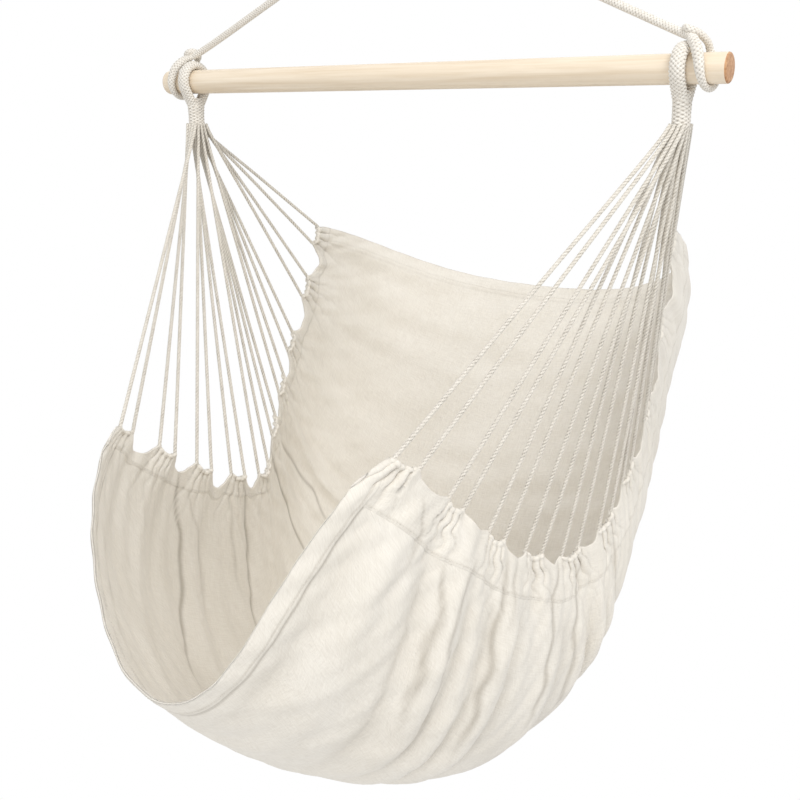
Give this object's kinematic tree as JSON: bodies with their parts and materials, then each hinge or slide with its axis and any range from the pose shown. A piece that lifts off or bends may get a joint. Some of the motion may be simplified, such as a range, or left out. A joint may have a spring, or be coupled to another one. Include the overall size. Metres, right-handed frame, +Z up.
{
  "type": "hammock chair",
  "caption": "Cotton hammock seat hung by cords from a round wooden spreader bar, which a rope carries from a steel ring.",
  "frame": {"origin": "top of the hanging ring's hole, where a hook bears", "axes": "+Z up, +X along the spreader bar, +Y from the open front towards the backrest"},
  "size_m": [0.808, 0.8921, 1.2404],
  "materials": {
    "steel": "satin zinc-plated steel wire",
    "rope": "braided natural cotton rope",
    "twine": "twisted natural cotton cord",
    "pine": "smooth pale pine, clear satin lacquer",
    "cotton_cloth": "undyed plain-weave cotton canvas"
  },
  "bodies": {
    "ring": {"hanging_ring": "steel"},
    "eye": {"rope_eye": "rope", "eye_whipping": "twine"},
    "bridle": {"spreader_bar": "pine", "hanger_leg_left": "rope", "hanger_leg_right": "rope", "bar_knot_left": "rope", "bar_knot_right": "rope", "served_loop_left": "rope", "served_loop_right": "rope"},
    "seat": {"seat_cloth": "cotton_cloth", "tab_band_left": "cotton_cloth", "tab_band_right": "cotton_cloth", "seat_loop_left": "rope", "seat_loop_right": "rope", "plaited_neck_left": "rope", "plaited_neck_right": "rope", "cord_left_01": "twine", "cord_left_02": "twine", "cord_left_03": "twine", "cord_left_04": "twine", "cord_left_05": "twine", "cord_left_06": "twine", "cord_left_07": "twine", "cord_left_08": "twine", "cord_left_09": "twine", "cord_left_10": "twine", "cord_right_01": "twine", "cord_right_02": "twine", "cord_right_03": "twine", "cord_right_04": "twine", "cord_right_05": "twine", "cord_right_06": "twine", "cord_right_07": "twine", "cord_right_08": "twine", "cord_right_09": "twine", "cord_right_10": "twine"}
  },
  "joints": [
    {"name": "swing", "type": "hinge", "parent": "ring", "child": "eye", "pos_m": [0, 0, -0.05], "axis": [1, 0, 0], "range_deg": [-35, 35]},
    {"name": "twist", "type": "hinge", "parent": "eye", "child": "bridle", "pos_m": [0, 0, -0.128], "axis": [0, 0, 1], "range_deg": [-150, 150]},
    {"name": "seat_pitch", "type": "hinge", "parent": "bridle", "child": "seat", "pos_m": [0, 0, -0.318], "axis": [1, 0, 0], "range_deg": [-25, 25]}
  ]
}
